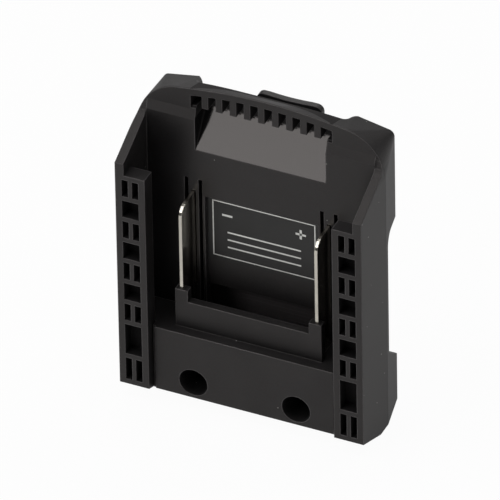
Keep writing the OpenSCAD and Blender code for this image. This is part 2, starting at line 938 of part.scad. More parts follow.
// Lead from a blade's tail to the front of the board
module input_lead(side) {
    x = side * blade_gap / 2;
    x1 = side * (blade_gap / 2 - lead_in_step);
    z0 = board_z + board_h * 0.66;
    z1 = board_z + board_h * 0.5;
    mid = (blade_back + board_y) / 2;
    lead([[x, blade_back, z0], [x, mid, z0], [x1, mid, z1], [x1, board_y, z1]]);
}

module positive_input_lead() {
    color("#a32620") input_lead(1);
}

module negative_input_lead() {
    color("#19191a") input_lead(-1);
}

// Lead from the back of the board to a device contact
module output_lead(side) {
    x = side * contact_gap / 2;
    x0 = side * (contact_gap / 2 - lead_out_step);
    z0 = board_z + board_h * 0.3;
    mid = (board_back + insert_y - tail_l) / 2;
    lead([[x0, board_back, z0], [x0, mid, z0], [x, mid, contact_mid], [x, insert_y - tail_l, contact_mid]]);
}

module positive_output_lead() {
    color("#a32620") output_lead(1);
}

module negative_output_lead() {
    color("#19191a") output_lead(-1);
}

// Insulating block that holds the two device contacts in the rear wall
module contact_block() {
    flange_half = insert_half + insert_flange;
    color("#39393b") difference() {
        union() {
            slab_across(insert_half, insert_y, total_d, insert_z, insert_z + insert_h);
            slab_across(flange_half, wall_y - insert_flange_t, wall_y,
                        insert_z - insert_flange, insert_z + insert_h + insert_flange);
        }
        for (side = [-1, 1]) {
            x = side * contact_gap / 2;
            block(x - contact_cell / 2, x + contact_cell / 2, insert_y - eps, total_d - contact_face,
                  insert_z + contact_wall, insert_z + insert_h - contact_wall);
            block(x - contact_slot / 2, x + contact_slot / 2, insert_y, total_d + eps,
                  insert_z + contact_wall, insert_z + insert_h - contact_wall);
        }
    }
}

// Fork contact: two leaves on a bridge, with a tail for the lead
module contact(x) {
    back = total_d - contact_face - slip;
    z0 = insert_z + contact_wall + slip;
    z1 = insert_z + insert_h - contact_wall - slip;
    half = contact_cell / 2 - slip;
    for (side = [-1, 1])
        translate([side * (leaf_gap + leaf_t) / 2, 0, 0])
            block(x - leaf_t / 2, x + leaf_t / 2, insert_y, back, z0, z1);
    block(x - half, x + half, insert_y, insert_y + leaf_t, z0, z1);
    block(x - tail_w / 2, x + tail_w / 2, insert_y - tail_l, insert_y + leaf_t,
          contact_mid - leaf_t, contact_mid + leaf_t);
}

module positive_contact() {
    color(nickel) contact(contact_gap / 2);
}

module negative_contact() {
    color(nickel) contact(-contact_gap / 2);
}

// Moves the working frame so that the origin is under the middle of the part
module placed() {
    translate([0, -total_d / 2, 0]) children();
}

placed() front_housing();
placed() rear_housing();
placed() terminal_carrier();
placed() positive_blade();
placed() negative_blade();
placed() blank_label();
placed() release_latch();
placed() left_spring();
placed() right_spring();
placed() front_screws();
placed() rear_screws();
placed() circuit_board();
placed() board_screws();
placed() power_transistors();
placed() smoothing_capacitor();
placed() control_chip();
placed() fuse();
placed() shunt_resistor();
placed() positive_input_lead();
placed() negative_input_lead();
placed() positive_output_lead();
placed() negative_output_lead();
placed() contact_block();
placed() positive_contact();
placed() negative_contact();
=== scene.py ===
"""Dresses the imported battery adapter: finishes, wound springs, plain print on the label, and a studio."""

import json
import math

import bpy
from mathutils import Matrix, Vector

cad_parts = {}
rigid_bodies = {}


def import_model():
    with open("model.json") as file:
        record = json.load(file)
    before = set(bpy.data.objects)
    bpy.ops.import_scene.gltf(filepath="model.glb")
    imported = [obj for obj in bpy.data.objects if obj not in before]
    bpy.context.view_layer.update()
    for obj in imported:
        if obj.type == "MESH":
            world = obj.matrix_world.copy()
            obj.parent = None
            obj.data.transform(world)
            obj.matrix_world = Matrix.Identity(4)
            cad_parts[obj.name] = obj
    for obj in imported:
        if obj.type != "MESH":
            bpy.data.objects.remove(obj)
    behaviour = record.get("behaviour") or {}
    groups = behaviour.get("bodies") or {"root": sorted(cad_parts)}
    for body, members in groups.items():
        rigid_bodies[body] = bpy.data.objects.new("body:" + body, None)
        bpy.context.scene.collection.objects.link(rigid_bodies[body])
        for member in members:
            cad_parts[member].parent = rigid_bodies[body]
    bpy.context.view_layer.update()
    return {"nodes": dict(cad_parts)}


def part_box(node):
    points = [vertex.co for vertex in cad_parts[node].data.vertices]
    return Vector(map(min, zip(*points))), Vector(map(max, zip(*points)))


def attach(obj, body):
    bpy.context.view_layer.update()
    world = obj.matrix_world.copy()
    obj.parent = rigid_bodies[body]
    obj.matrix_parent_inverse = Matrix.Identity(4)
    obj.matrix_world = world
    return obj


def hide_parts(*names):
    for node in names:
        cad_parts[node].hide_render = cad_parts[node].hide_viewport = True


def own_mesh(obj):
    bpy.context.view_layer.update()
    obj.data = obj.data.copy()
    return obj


bl_info = {
    "name": "Battery adapter",
    "version": (1, 0, 0),
    "blender": (4, 5, 0),
    "location": "View3D > Sidebar > Adapter",
    "description": "Finishes and small pieces for a slide-on tool battery adapter",
    "category": "Object",
}

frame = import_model()
NODES = frame["nodes"]
MM = 0.001

# Places of the front housing where the tool has another finish: the lowest and highest corner in mm, then the
# roughness and the gloss there. The housing mirrors, so a place on its right also counts on its left.
# A later place covers an earlier one.
TOOL_PLACES = (
    # Outer sides, and the skirt behind them
    ((37.8, -20.9, 0), (38.1, -4.3, 90), 0.5, 0.38),
    ((33, -4.3, 0), (38.1, 21.1, 90), 0.5, 0.3),
    # Face of the deck, and the band above it
    ((-37.9, -5.4, 25), (37.9, -5.2, 90.9), 0.34, 0.4),
    ((-37.9, -5.28, 90.9), (37.9, -4.32, 93.95), 0.5, 0.7),
    # Polished ramp of the latch pocket
    ((-20.2, -5.25, 80.7), (20.2, 2.6, 91.8), 0.11, 0.5),
    # Rough cores between the ribs and in the rail cells
    ((-22, -4.25, 91.8), (22, 2.6, 101), 0.9, 0.5),
    ((30.8, -20.95, 0), (36.05, -17.1, 77.4), 0.9, 0.2),
    # Label recess
    ((-17.65, -5.25, 33.8), (17.65, -2.2, 65.4), 0.6, 0.75),
)


class AdapterSizes(bpy.types.PropertyGroup):
    """Sizes of the finishes and of the pieces that the scene adds."""

    edge_radius: bpy.props.FloatProperty(
        name="Edge radius", description="Rounding of the moulded edges",
        default=0.5 * MM, min=0.05 * MM, max=1 * MM, unit="LENGTH", precision=5)
    grain: bpy.props.FloatProperty(
        name="Grain", description="Width of one grain of the moulded texture",
        default=0.4 * MM, min=0.1 * MM, max=2 * MM, unit="LENGTH", precision=5)
    spring_wire: bpy.props.FloatProperty(
        name="Spring wire", description="Diameter of the latch springs' wire",
        default=0.7 * MM, min=0.3 * MM, max=0.8 * MM, unit="LENGTH", precision=5)
    spring_turns: bpy.props.IntProperty(
        name="Spring turns", description="Working turns of each latch spring", default=6, min=3, max=9)
    ink: bpy.props.FloatProperty(
        name="Ink", description="Thickness of the printed marks on the label",
        default=0.03 * MM, min=0.01 * MM, max=0.1 * MM, unit="LENGTH", precision=5)


class AdapterColours(bpy.types.PropertyGroup):
    """Colours of the finishes, as sRGB hex values."""

    housing: bpy.props.StringProperty(
        name="Housing", description="Black nylon of the housings", default="#1c1b1c")
    # Pale edge colour: partly wear, partly a painted highlight on the outer edges
    housing_scuff_and_highlight: bpy.props.StringProperty(
        name="Worn edge", description="Rubbed edges of the black nylon", default="#737071")
    carrier: bpy.props.StringProperty(
        name="Carrier", description="Black nylon of the terminal carrier", default="#1b1a1b")
    nickel: bpy.props.StringProperty(
        name="Nickel", description="Plating of the blades and contacts", default="#d6d1c6")
    film: bpy.props.StringProperty(
        name="Label film", description="Satin black film of the label", default="#2c2b2a")
    ink: bpy.props.StringProperty(
        name="Label ink", description="Silver print on the label", default="#ecece8")
    steel: bpy.props.StringProperty(
        name="Steel", description="Zinc-plated screws and spring wire", default="#a7a9ac")
    board: bpy.props.StringProperty(
        name="Board", description="Grey solder mask of the circuit board", default="#5e595a")
    red: bpy.props.StringProperty(
        name="Red lead", description="Insulation of the positive leads", default="#a3221c")
    backdrop: bpy.props.StringProperty(
        name="Floor", description="Pale floor under the part", default="#f4f4f4")


def linear(code):
    """Turns an sRGB hex value into linear RGBA."""
    parts = [int(code[i:i + 2], 16) / 255 for i in (1, 3, 5)]
    return [c / 12.92 if c <= 0.04045 else ((c + 0.055) / 1.055) ** 2.4 for c in parts] + [1.0]


def feed(tree, node, inputs):
    """Links or sets the inputs of a node."""
    for key, value in inputs.items():
        if isinstance(value, bpy.types.NodeSocket):
            tree.links.new(value, node.inputs[key])
        else:
            node.inputs[key].default_value = value


def add_node(tree, kind, inputs=None, **settings):
    """Adds one node, gives it its settings and feeds its inputs."""
    made = tree.nodes.new(kind)
    for key, value in settings.items():
        setattr(made, key, value)
    feed(tree, made, inputs or {})
    return made


def new_finish(name):
    """Starts a material and returns it with its tree, its shader and the place on the part in metres."""
    finish = bpy.data.materials.new(name)
    finish.use_nodes = True
    tree = finish.node_tree
    shader = tree.nodes["Principled BSDF"]
    place = add_node(tree, "ShaderNodeTexCoord").outputs["Object"]
    return finish, tree, shader, place


def right_half(tree, place):
    """Gives the place mirrored to the right half of the part."""
    sides = add_node(tree, "ShaderNodeSeparateXYZ", {"Vector": place}).outputs
    away = add_node(tree, "ShaderNodeMath", {0: sides["X"]}, operation="ABSOLUTE").outputs["Value"]
    return add_node(tree, "ShaderNodeCombineXYZ",
                    {"X": away, "Y": sides["Y"], "Z": sides["Z"]}).outputs["Vector"]


def inside_box(tree, place, low, high):
    """Gives 1 inside a box of the part and 0 outside it."""
    off = add_node(tree, "ShaderNodeVectorMath", {0: place, 1: (low + high) / 2},
                   operation="SUBTRACT").outputs["Vector"]
    away = add_node(tree, "ShaderNodeVectorMath", {0: off}, operation="ABSOLUTE").outputs["Vector"]
    past = add_node(tree, "ShaderNodeVectorMath", {0: away, 1: (high - low) / 2},
                    operation="SUBTRACT").outputs["Vector"]
    sides = add_node(tree, "ShaderNodeSeparateXYZ", {"Vector": past}).outputs
    most = add_node(tree, "ShaderNodeMath", {0: sides["X"], 1: sides["Y"]},
                    operation="MAXIMUM").outputs["Value"]
    most = add_node(tree, "ShaderNodeMath", {0: most, 1: sides["Z"]}, operation="MAXIMUM").outputs["Value"]
    return add_node(tree, "ShaderNodeMath", {0: most, 1: 0.0}, operation="LESS_THAN").outputs["Value"]


def tool_finish(tree, place, places, sheen, relief, gloss):
    """Gives sheen, relief and gloss with the places of the tool that have another finish."""
    smooth_relief = 0.01
    half = right_half(tree, place)
    for low, high, rough, shine in places:
        here = inside_box(tree, half, Vector(low) * MM, Vector(high) * MM)
        sheen = add_node(tree, "ShaderNodeMapRange",
                         {"Value": here, "To Min": sheen, "To Max": rough}).outputs["Result"]
        relief = add_node(tree, "ShaderNodeMapRange",
                          {"Value": here, "To Min": relief, "To Max": smooth_relief}).outputs["Result"]
        gloss = add_node(tree, "ShaderNodeMapRange",
                         {"Value": here, "To Min": gloss, "To Max": shine}).outputs["Result"]
    return sheen, relief, gloss


def scuffed_and_highlit_edges(tree, radius):
    """Gives the normal of rounded edges, and 1 on the edges that stand out. There the edges are paler, partly
    from wear and partly as a painted highlight.
    """
    # Cosines of the turn between the flat and the rounded normal
    edge_mark_starts, edge_mark_full = 0.995, 0.86
    corner_reach = 1.2 * MM
    soft = add_node(tree, "ShaderNodeBevel", {"Radius": radius}, samples=6).outputs["Normal"]
    flat = add_node(tree, "ShaderNodeNewGeometry").outputs["Normal"]
    turn = add_node(tree, "ShaderNodeVectorMath", {0: soft, 1: flat},
                    operation="DOT_PRODUCT").outputs["Value"]
    edge = add_node(tree, "ShaderNodeMapRange",
                    {"Value": turn, "From Min": edge_mark_starts, "From Max": edge_mark_full}).outputs["Result"]
    # Inner corners have walls close by. Handling doesn't reach them, and the painted highlight is kept off
    # them too
    clear = add_node(tree, "ShaderNodeAmbientOcclusion", {"Distance": corner_reach},
                     samples=6, only_local=True).outputs["AO"]
    proud = add_node(tree, "ShaderNodeMapRange",
                     {"Value": clear, "From Min": 0.7, "From Max": 0.95}).outputs["Result"]
    scuffed_and_highlit = add_node(tree, "ShaderNodeMath", {0: edge, 1: proud}, operation="MULTIPLY").outputs["Value"]
    return soft, scuffed_and_highlit


def dust_specks(tree, place):
    """Gives 1 on specks of dust about 0.35 mm across, in about one of six of the 3.5 mm cells."""
    cell, speck_r, bare_share = 3.5 * MM, 0.175 * MM, 0.83
    cells = add_node(tree, "ShaderNodeTexVoronoi", {"Vector": place, "Scale": 1 / cell})
    near = add_node(tree, "ShaderNodeMath", {0: cells.outputs["Distance"], 1: speck_r / cell},
                    operation="LESS_THAN").outputs["Value"]
    pick = add_node(tree, "ShaderNodeSeparateColor", {"Color": cells.outputs["Color"]}).outputs["Red"]
    few = add_node(tree, "ShaderNodeMath", {0: pick, 1: bare_share},
                   operation="GREATER_THAN").outputs["Value"]
    return add_node(tree, "ShaderNodeMath", {0: near, 1: few}, operation="MULTIPLY").outputs["Value"]


def moulded_nylon(name, base, scuff_and_highlight, sizes, roughness=0.5, polish=0.08, places=()):
    """Glass-filled nylon moulded in a spark-eroded tool: a fine even grain, soft edges that are paler partly
    from wear and partly as a painted highlight, and a dull sheen.
    """
    finish, tree, shader, place = new_finish(name)
    flow_w, dust_cover = 14 * MM, 0.8
    relief, grain_depth, gloss, nylon_ior = 0.22, 0.05 * MM, 0.5, 1.53
    soft, edge = scuffed_and_highlit_edges(tree, sizes.edge_radius)
    # The real grit is about 0.1 mm. It is drawn at 0.4 mm, because a pixel of the view is about 0.3 mm.
    grit = add_node(tree, "ShaderNodeTexNoise",
                    {"Vector": place, "Scale": 1 / sizes.grain,
                     "Detail": 2.0, "Roughness": 0.6}).outputs["Fac"]
    # Flow of the melt and handling, in broad patches
    flow = add_node(tree, "ShaderNodeTexNoise",
                    {"Vector": place, "Scale": 1 / flow_w, "Detail": 3.0, "Roughness": 0.55}).outputs["Fac"]
    tint = add_node(tree, "ShaderNodeMapRange",
                    {"Value": flow, "From Min": 0.3, "From Max": 0.7,
                     "To Min": 0.86, "To Max": 1.14}).outputs["Result"]
    fleck = add_node(tree, "ShaderNodeMapRange",
                     {"Value": grit, "From Min": 0.3, "From Max": 0.75,
                      "To Min": 0.8, "To Max": 1.25}).outputs["Result"]
    shade = add_node(tree, "ShaderNodeMath", {0: tint, 1: fleck}, operation="MULTIPLY").outputs["Value"]
    body = add_node(tree, "ShaderNodeVectorMath", {0: linear(base)[:3], "Scale": shade},
                    operation="SCALE").outputs["Vector"]
    # Handling rubs the edges paler and smoother, in patches. The paler edge colour is also a painted
    # highlight along the outer edges
    scuff_and_highlight_patches = add_node(tree, "ShaderNodeMapRange",
                    {"Value": flow, "From Min": 0.3, "From Max": 0.7,
                     "To Min": 0.35, "To Max": 1.0}).outputs["Result"]
    patchy = add_node(tree, "ShaderNodeMath", {0: edge, 1: scuff_and_highlight_patches}, operation="MULTIPLY").outputs["Value"]
    scuffed_and_highlit = add_node(tree, "ShaderNodeMix", {"Factor": patchy, "A": body, "B": linear(scuff_and_highlight)},
                      data_type="RGBA").outputs["Result"]
    haze = add_node(tree, "ShaderNodeMath", {0: dust_specks(tree, place), 1: dust_cover},
                    operation="MULTIPLY").outputs["Value"]
    colour = add_node(tree, "ShaderNodeMix", {"Factor": haze, "A": scuffed_and_highlit, "B": linear("#b8b6b2")},
                      data_type="RGBA").outputs["Result"]
    dull = add_node(tree, "ShaderNodeMapRange",
                    {"Value": flow, "From Min": 0.25, "From Max": 0.75,
                     "To Min": roughness - 0.06, "To Max": roughness + 0.08}).outputs["Result"]
    sheen = add_node(tree, "ShaderNodeMath", {0: patchy, 1: -polish, 2: dull},
                     operation="MULTIPLY_ADD").outputs["Value"]
    if places:
        sheen, relief, gloss = tool_finish(tree, place, places, sheen, relief, gloss)
    bump = add_node(tree, "ShaderNodeBump",
                    {"Strength": relief, "Distance": grain_depth,
                     "Height": grit, "Normal": soft}).outputs["Normal"]
    feed(tree, shader, {"Base Color": colour, "Roughness": sheen, "Normal": bump, "Specular IOR Level": gloss,
                        "IOR": nylon_ior, "Specular Tint": linear("#fff8f5")})
    return finish


def plated_strip(name, base, roughness=0.2):
    """Nickel plate on stamped brass strip: rolling streaks along its length and bright sheared edges."""
    finish, tree, shader, place = new_finish(name)
    edge_r, mark_gap, mark_len, tarnish_w = 0.3 * MM, 0.5 * MM, 12 * MM, 6 * MM
    soft = add_node(tree, "ShaderNodeBevel", {"Radius": edge_r}, samples=6).outputs["Normal"]
    # Rolling marks run along the height
    stretched = add_node(tree, "ShaderNodeMapping",
                         {"Vector": place,
                          "Scale": (1 / mark_gap, 1 / mark_gap, 1 / mark_len)}).outputs["Vector"]
    streak = add_node(tree, "ShaderNodeTexNoise",
                      {"Vector": stretched, "Scale": 1.0, "Detail": 3.0}).outputs["Fac"]
    tarnish = add_node(tree, "ShaderNodeTexNoise",
                       {"Vector": place, "Scale": 1 / tarnish_w, "Detail": 4.0}).outputs["Fac"]
    tone = add_node(tree, "ShaderNodeMapRange",
                    {"Value": tarnish, "From Min": 0.3, "From Max": 0.75,
                     "To Min": 1.0, "To Max": 0.78}).outputs["Result"]
    colour = add_node(tree, "ShaderNodeVectorMath", {0: linear(base)[:3], "Scale": tone},
                      operation="SCALE").outputs["Vector"]
    dull = add_node(tree, "ShaderNodeMapRange",
                    {"Value": streak, "From Min": 0.3, "From Max": 0.7,
                     "To Min": roughness - 0.015, "To Max": roughness + 0.02}).outputs["Result"]
    bump = add_node(tree, "ShaderNodeBump",
                    {"Strength": 0.01, "Distance": 0.002 * MM,
                     "Height": streak, "Normal": soft}).outputs["Normal"]
    feed(tree, shader, {"Base Color": colour, "Roughness": dull, "Normal": bump, "Metallic": 1.0})
    return finish


def zinc_steel(name, base, roughness=0.38):
    """Zinc-plated steel: a dull blue-grey metal with fine crystals."""
    finish, tree, shader, place = new_finish(name)
    edge_r, crystal_w = 0.15 * MM, 0.3 * MM
    soft = add_node(tree, "ShaderNodeBevel", {"Radius": edge_r}, samples=4).outputs["Normal"]
    crystal = add_node(tree, "ShaderNodeTexVoronoi", {"Vector": place, "Scale": 1 / crystal_w})
    pick = add_node(tree, "ShaderNodeSeparateColor", {"Color": crystal.outputs["Color"]}).outputs["Red"]
    tone = add_node(tree, "ShaderNodeMapRange",
                    {"Value": pick, "To Min": 0.72, "To Max": 1.05}).outputs["Result"]
    colour = add_node(tree, "ShaderNodeVectorMath", {0: linear(base)[:3], "Scale": tone},
                      operation="SCALE").outputs["Vector"]
    dull = add_node(tree, "ShaderNodeMapRange",
                    {"Value": pick, "To Min": roughness - 0.08, "To Max": roughness + 0.1}).outputs["Result"]
    bump = add_node(tree, "ShaderNodeBump",
                    {"Strength": 0.1, "Distance": 0.02 * MM,
                     "Height": pick, "Normal": soft}).outputs["Normal"]
    feed(tree, shader, {"Base Color": colour, "Roughness": dull, "Normal": bump, "Metallic": 1.0})
    return finish


def printed_film(name, base, metallic=0.0):
    """Polyester label film or its silver ink: satin, with a faint orange-peel lay and patches worn by
    rubbing.
    """
    finish, tree, shader, place = new_finish(name)
    peel_w, rub_w = 1.2 * MM, 7 * MM
    peel = add_node(tree, "ShaderNodeTexNoise",
                    {"Vector": place, "Scale": 1 / peel_w, "Detail": 2.0}).outputs["Fac"]
    rub = add_node(tree, "ShaderNodeTexNoise",
                   {"Vector": place, "Scale": 1 / rub_w, "Detail": 4.0}).outputs["Fac"]
    tone = add_node(tree, "ShaderNodeMapRange",
                    {"Value": rub, "From Min": 0.3, "From Max": 0.7,
                     "To Min": 0.85, "To Max": 1.2}).outputs["Result"]
    colour = add_node(tree, "ShaderNodeVectorMath", {0: linear(base)[:3], "Scale": tone},
                      operation="SCALE").outputs["Vector"]
    dull = add_node(tree, "ShaderNodeMapRange",
                    {"Value": rub, "From Min": 0.3, "From Max": 0.7,
                     "To Min": 0.42, "To Max": 0.56}).outputs["Result"]
    bump = add_node(tree, "ShaderNodeBump",
                    {"Strength": 0.08, "Distance": 0.03 * MM, "Height": peel}).outputs["Normal"]
    feed(tree, shader, {"Base Color": colour, "Roughness": dull, "Normal": bump, "Metallic": metallic})
    return finish


def solder_mask(name, base):
    """Grey solder mask over copper: traces show as slightly raised paler lines on a woven laminate."""
    finish, tree, shader, place = new_finish(name)
    # Traces 0.3 mm wide, in runs about 8 mm long
    trace_pitch, trace_share, run_len, bare_share, weave_w = 1.27 * MM, 0.24, 8 * MM, 0.52, 0.5 * MM
    height = add_node(tree, "ShaderNodeSeparateXYZ", {"Vector": place}).outputs["Z"]
    row = add_node(tree, "ShaderNodeMath", {0: height, 1: trace_pitch}, operation="DIVIDE").outputs["Value"]
    step = add_node(tree, "ShaderNodeMath", {0: row}, operation="FRACT").outputs["Value"]
    line = add_node(tree, "ShaderNodeMath", {0: step, 1: trace_share}, operation="LESS_THAN").outputs["Value"]
    patch = add_node(tree, "ShaderNodeTexNoise",
                     {"Vector": place, "Scale": 1 / run_len, "Detail": 0.0}).outputs["Fac"]
    routed = add_node(tree, "ShaderNodeMath", {0: patch, 1: bare_share},
                      operation="GREATER_THAN").outputs["Value"]
    trace = add_node(tree, "ShaderNodeMath", {0: line, 1: routed}, operation="MULTIPLY").outputs["Value"]
    weave = add_node(tree, "ShaderNodeTexNoise", {"Vector": place, "Scale": 1 / weave_w}).outputs["Fac"]
    dark = add_node(tree, "ShaderNodeMapRange",
                    {"Value": weave, "To Min": 0.8, "To Max": 1.2}).outputs["Result"]
    ground = add_node(tree, "ShaderNodeVectorMath", {0: linear(base)[:3], "Scale": dark},
                      operation="SCALE").outputs["Vector"]
    colour = add_node(tree, "ShaderNodeMix", {"Factor": trace, "A": ground, "B": linear("#676263")},
                      data_type="RGBA").outputs["Result"]
    bump = add_node(tree, "ShaderNodeBump",
                    {"Strength": 0.1, "Distance": 0.05 * MM, "Height": trace}).outputs["Normal"]
    feed(tree, shader, {"Base Color": colour, "Normal": bump, "Roughness": 0.5})
    return finish


def soft_insulation(name, base):
    """Soft PVC insulation: smooth, with a patchy haze of talc."""
    finish, tree, shader, place = new_finish(name)
    talc_w = 2 * MM
    talc = add_node(tree, "ShaderNodeTexNoise",
                    {"Vector": place, "Scale": 1 / talc_w, "Detail": 4.0}).outputs["Fac"]
    tone = add_node(tree, "ShaderNodeMapRange",
                    {"Value": talc, "From Min": 0.3, "From Max": 0.7,
                     "To Min": 0.85, "To Max": 1.25}).outputs["Result"]
    colour = add_node(tree, "ShaderNodeVectorMath", {0: linear(base)[:3], "Scale": tone},
                      operation="SCALE").outputs["Vector"]
    dull = add_node(tree, "ShaderNodeMapRange",
                    {"Value": talc, "To Min": 0.32, "To Max": 0.55}).outputs["Result"]
    feed(tree, shader, {"Base Color": colour, "Roughness": dull})
    return finish


def capped_ceramic(name, box):
    """Ceramic fuse body with mottled glaze, between two plated end caps."""
    finish, tree, shader, place = new_finish(name)
    cap, mottle_w = 2 * MM, 1 * MM
    middle = (box[0].x + box[1].x) / 2
    reach = (box[1].x - box[0].x) / 2 - cap
    x = add_node(tree, "ShaderNodeSeparateXYZ", {"Vector": place}).outputs["X"]
    off = add_node(tree, "ShaderNodeMath", {0: x, 1: middle}, operation="SUBTRACT").outputs["Value"]
    away = add_node(tree, "ShaderNodeMath", {0: off}, operation="ABSOLUTE").outputs["Value"]
    metal = add_node(tree, "ShaderNodeMath", {0: away, 1: reach}, operation="GREATER_THAN").outputs["Value"]
    mottle = add_node(tree, "ShaderNodeTexNoise", {"Vector": place, "Scale": 1 / mottle_w}).outputs["Fac"]
    tone = add_node(tree, "ShaderNodeMapRange",
                    {"Value": mottle, "To Min": 0.85, "To Max": 1.05}).outputs["Result"]
    glaze = add_node(tree, "ShaderNodeVectorMath", {0: linear("#d6d0bf")[:3], "Scale": tone},
                     operation="SCALE").outputs["Vector"]
    colour = add_node(tree, "ShaderNodeMix", {"Factor": metal, "A": glaze, "B": linear("#c8c6c0")},
                      data_type="RGBA").outputs["Result"]
    feed(tree, shader, {"Base Color": colour, "Metallic": metal, "Roughness": 0.3})
    return finish


def dress(finish, *names):
    """Gives CAD nodes their finish."""
    for name in names:
        slots = NODES[name].data.materials
        slots.clear()
        slots.append(finish)


def start_piece():
    """Leaves edit mode and deselects everything before a new piece."""
    if bpy.context.mode != "OBJECT":
        bpy.ops.object.mode_set(mode="OBJECT")
    bpy.ops.object.select_all(action="DESELECT")


def finish_piece(name, finish, body, slot, *stands_for):
    """Names the active piece, puts its place in its mesh, and lets it ride on its body."""
    piece = bpy.context.view_layer.objects.active
    bpy.ops.object.transform_apply(location=True, rotation=True, scale=True)
    piece.name = name
    piece.data.name = name
    piece.data.materials.clear()
    piece.data.materials.append(finish)
    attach(piece, body)
    if stands_for:
        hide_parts(*stands_for)
    return piece


def label_bars(low, high):
    """Lists the printed bars by middle, width and height: a frame, a minus and a plus, and three rules."""
    wide, tall = high.x - low.x, high.z - low.z
    inset, line = 1.6 * MM, 0.35 * MM
    mark_inset, mark, stroke = 6 * MM, 3.2 * MM, 0.7 * MM
    rules, rule_low, rule_pitch, rule_inset, rule = 3, 5.2 * MM, 2.6 * MM, 6 * MM, 0.5 * MM
    bars = []
    for z in (low.z + inset, high.z - inset):
        bars.append((0.0, z, wide - 2 * inset, line))
    for x in (low.x + inset, high.x - inset):
        bars.append((x, (low.z + high.z) / 2, line, tall - 2 * inset + line))
    level = high.z - mark_inset
    bars.append((low.x + mark_inset, level, mark, stroke))
    bars.append((high.x - mark_inset, level, mark, stroke))
    bars.append((high.x - mark_inset, level, stroke, mark))
    for row in range(rules):
        bars.append((0.0, low.z + rule_low + row * rule_pitch, wide - 2 * rule_inset, rule))
    return bars


class ADAPTER_OT_housings(bpy.types.Operator):
    """Finish both housings in moulded black nylon"""

    bl_idname = "adapter.housings"
    bl_label = "Housings"

    def execute(self, context):
        sizes, colours = context.scene.adapter_sizes, context.scene.adapter_colours
        nylon = moulded_nylon("moulded_black_nylon", colours.housing, colours.housing_scuff_and_highlight, sizes,
                              places=TOOL_PLACES)
        dress(nylon, "front_housing")
        dress(moulded_nylon("plug_black_nylon", colours.housing, colours.housing_scuff_and_highlight, sizes), "rear_housing")
        return {"FINISHED"}


class ADAPTER_OT_carrier(bpy.types.Operator):
    """Finish the terminal carrier and the device's contact block"""

    bl_idname = "adapter.carrier"
    bl_label = "Terminal carrier"

    def execute(self, context):
        sizes, colours = context.scene.adapter_sizes, context.scene.adapter_colours
        nylon = moulded_nylon("carrier_black_nylon", colours.carrier, colours.housing_scuff_and_highlight, sizes,
                              roughness=0.52, polish=0.28)
        dress(nylon, "terminal_carrier")
        # Its edge colour is partly wear and partly a painted highlight
        grey = moulded_nylon("insulator_grey_nylon", "#39393b", "#565658", sizes, roughness=0.55)
        dress(grey, "contact_block")
        return {"FINISHED"}


class ADAPTER_OT_terminals(bpy.types.Operator):
    """Plate the blades and the device contacts"""

    bl_idname = "adapter.terminals"
    bl_label = "Terminals"

    def execute(self, context):
        nickel = plated_strip("nickel_plated_strip", context.scene.adapter_colours.nickel)
        dress(nickel, "positive_blade", "negative_blade", "positive_contact", "negative_contact")
        return {"FINISHED"}


class ADAPTER_OT_label(bpy.types.Operator):
    """Finish the blank label and print its plain rules and polarity marks"""

    bl_idname = "adapter.label"
    bl_label = "Label"

    def execute(self, context):
        sizes, colours = context.scene.adapter_sizes, context.scene.adapter_colours
        dress(printed_film("satin_label_film", colours.film), "blank_label")
        low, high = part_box("blank_label")
        start_piece()
        for x, z, wide, tall in label_bars(low, high):
            bpy.ops.mesh.primitive_plane_add(size=1, location=(x, low.y - sizes.ink, z),
                                             rotation=(math.pi / 2, 0, 0))
            bpy.context.object.scale = (wide, tall, 1)
            bpy.ops.object.transform_apply(location=True, rotation=True, scale=True)
        made = [o for o in bpy.data.objects if o.name.startswith("Plane")]
        bpy.ops.object.select_all(action="DESELECT")
        for piece in made:
            piece.select_set(True)
        bpy.context.view_layer.objects.active = made[0]
        bpy.ops.object.join()
        bpy.ops.object.mode_set(mode="EDIT")
        bpy.ops.mesh.select_all(action="SELECT")
        bpy.ops.mesh.extrude_region_move(TRANSFORM_OT_translate={"value": (0, sizes.ink, 0)})
        bpy.ops.mesh.select_all(action="SELECT")
        bpy.ops.mesh.normals_make_consistent(inside=False)
        bpy.ops.object.mode_set(mode="OBJECT")
        ink = printed_film("silver_label_ink", colours.ink, metallic=0.85)
        finish_piece("label_rules", ink, "adapter", "label_film")
        return {"FINISHED"}


class ADAPTER_OT_latch(bpy.types.Operator):
    """Finish the sliding release latch"""

    bl_idname = "adapter.latch"
    bl_label = "Release latch"

    def execute(self, context):
        sizes, colours = context.scene.adapter_sizes, context.scene.adapter_colours
        nylon = moulded_nylon("latch_black_nylon", "#272728", colours.housing_scuff_and_highlight, sizes, roughness=0.48)
        dress(nylon, "release_latch")
        return {"FINISHED"}


